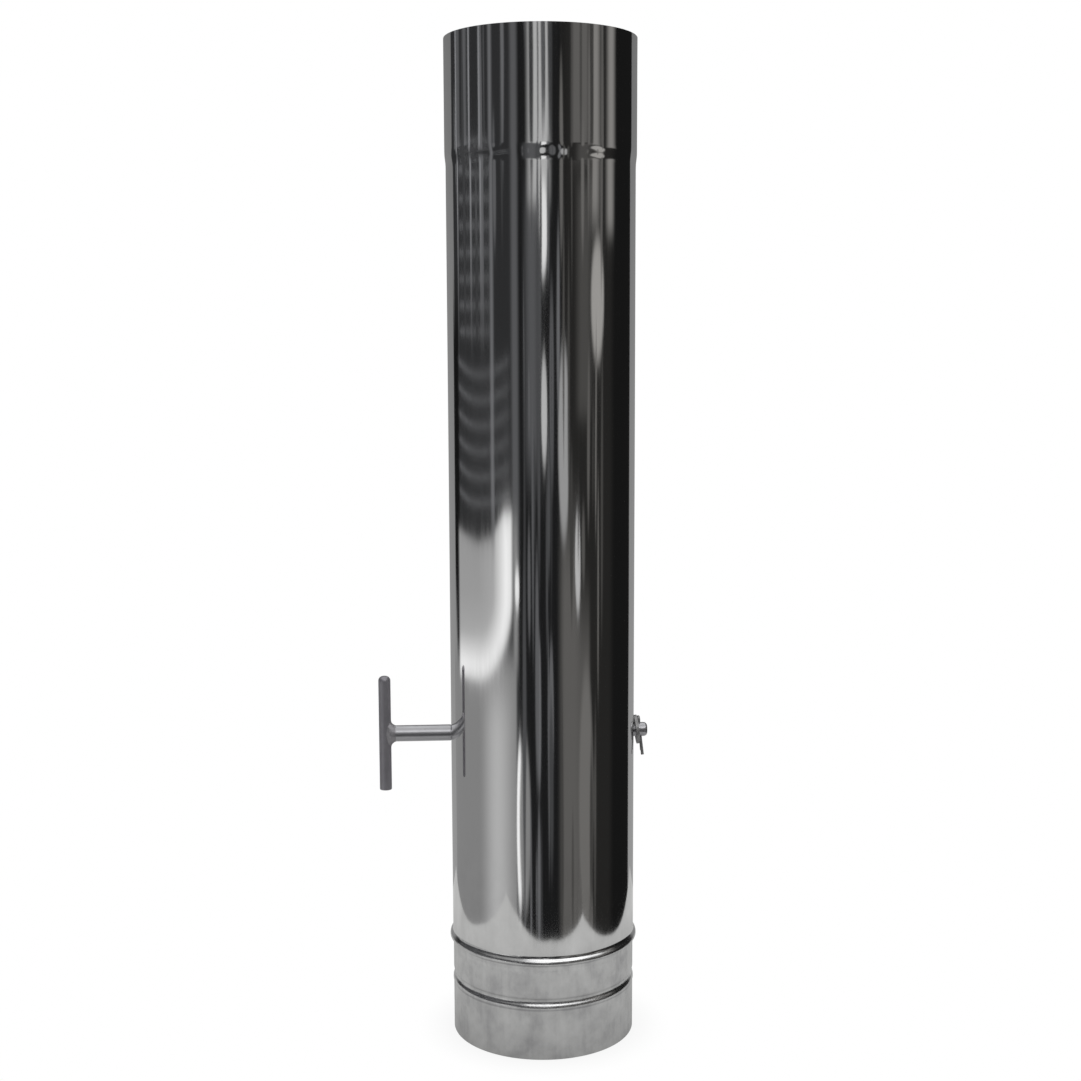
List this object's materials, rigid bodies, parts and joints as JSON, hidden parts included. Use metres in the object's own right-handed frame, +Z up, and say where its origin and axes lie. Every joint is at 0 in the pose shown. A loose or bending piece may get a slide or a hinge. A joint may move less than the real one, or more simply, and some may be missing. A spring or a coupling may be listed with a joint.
{
  "type": "stove pipe damper",
  "caption": "Polished steel flue pipe with a socket, a beaded spigot and a round plate inside that a T handle turns to throttle the draught.",
  "frame": {"origin": "centre of the pipe's lower end, in the plane of the spigot's rim", "axes": "+Z up the pipe towards the socket, X along the spindle with the T handle at -X, +Y away from the viewer of the picture"},
  "size_m": [0.1339, 0.0938, 0.4875],
  "materials": {
    "polished_sheet": "bright annealed mirror finish",
    "drawn_bar": "satin, drawn",
    "weld_metal": "as welded",
    "fastener_steel": "plain",
    "mill_sheet": "cold rolled, dull"
  },
  "bodies": {
    "flue": {"pipe": "polished_sheet"},
    "damper": {"spindle": "drawn_bar", "handle_bar": "drawn_bar", "handle_weld": "weld_metal", "end_washer": "fastener_steel", "split_pin": "fastener_steel", "damper_plate": "mill_sheet", "plate_screw_left": "fastener_steel", "lock_washer_left": "fastener_steel", "plate_screw_right": "fastener_steel", "lock_washer_right": "fastener_steel"}
  },
  "joints": [
    {"name": "damper_turn", "type": "hinge", "parent": "flue", "child": "damper", "pos_m": [0, 0, 0.152], "axis": [1, 0, 0], "continuous": true}
  ]
}
